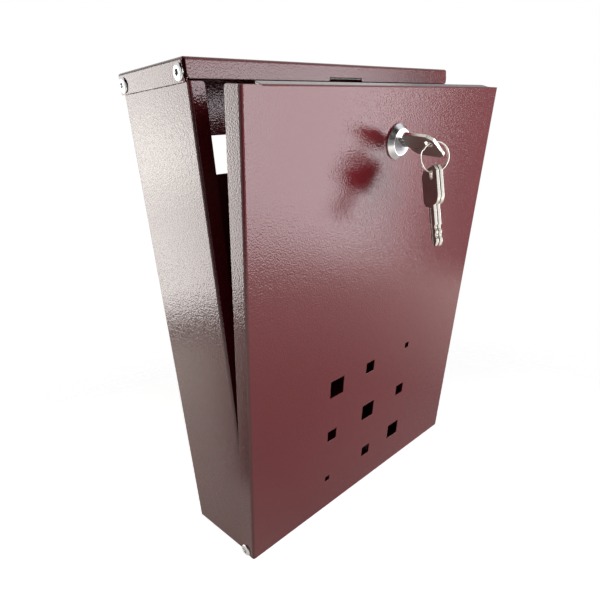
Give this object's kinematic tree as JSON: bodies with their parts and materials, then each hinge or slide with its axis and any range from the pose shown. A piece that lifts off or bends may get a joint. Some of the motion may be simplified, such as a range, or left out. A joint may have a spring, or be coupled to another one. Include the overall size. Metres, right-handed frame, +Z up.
{
  "type": "wall mounted mailbox",
  "caption": "Wine red sheet steel wall mailbox with a drop-front door, square sight holes, cam lock, key, split ring with spare keys, and a mail slot in the back.",
  "frame": {"origin": "centre of the four wall holes on the outside of the back wall", "axes": "+X to the right seen from the front, +Y from the front into the wall, +Z up"},
  "size_m": [0.2604, 0.1571, 0.3462],
  "materials": {
    "powder_coat": "semi-gloss hammered powder coat, wine red",
    "rivet_alu": "bright",
    "rivet_stem": "drawn",
    "chrome": "polished",
    "zinc": "zinc plated",
    "brass": "stamped",
    "spring_steel": "nickel plated wire",
    "nickel": "nickel plated, tumbled"
  },
  "bodies": {
    "box": {"body_shell": "powder_coat", "bottom_tray": "powder_coat", "lid": "powder_coat", "lid_rivets": "rivet_alu", "lid_rivet_stems": "rivet_stem", "hinge_rivets": "rivet_alu", "hinge_rivet_stems": "rivet_stem"},
    "door": {"door": "powder_coat", "lock_housing": "chrome", "lock_washer": "zinc", "lock_nut": "zinc"},
    "plug": {"lock_plug": "chrome", "lock_wafers": "brass", "wafer_springs": "spring_steel", "stop_washer": "zinc", "lock_cam": "zinc", "cam_washer": "zinc", "cam_screw": "zinc"},
    "key": {"key": "nickel"},
    "ring": {"split_ring": "spring_steel"},
    "spare_left": {"spare_key_left": "nickel"},
    "spare_right": {"spare_key_right": "nickel"}
  },
  "joints": [
    {"name": "door_hinge", "type": "hinge", "parent": "box", "child": "door", "pos_m": [0, -0.0675, -0.136], "axis": [1, 0, 0], "range_deg": [-7.9, 112.1]},
    {"name": "lock_turn", "type": "hinge", "parent": "door", "child": "plug", "pos_m": [0.0015, -0.11675, 0.15418], "axis": [0, -0.9905, -0.1374], "range_deg": [-57, 33]},
    {"name": "key_slide", "type": "slide", "parent": "plug", "child": "key", "axis": [0, -0.9905, -0.1374], "range_m": [0, 0.027]},
    {"name": "ring_swing", "type": "hinge", "parent": "key", "child": "ring", "pos_m": [-0.00178, -0.14394, 0.15241], "axis": [0.7551, -0.5288, 0.3875], "range_deg": [-25, 15]},
    {"name": "spare_left_swing", "type": "hinge", "parent": "ring", "child": "spare_left", "pos_m": [0.00114, -0.14599, 0.13473], "axis": [-0.8192, 0.5736, 0], "range_deg": [-30, 30]},
    {"name": "spare_right_swing", "type": "hinge", "parent": "ring", "child": "spare_right", "pos_m": [0.00114, -0.14599, 0.13473], "axis": [-0.8192, 0.5736, 0], "range_deg": [-30, 30]}
  ]
}
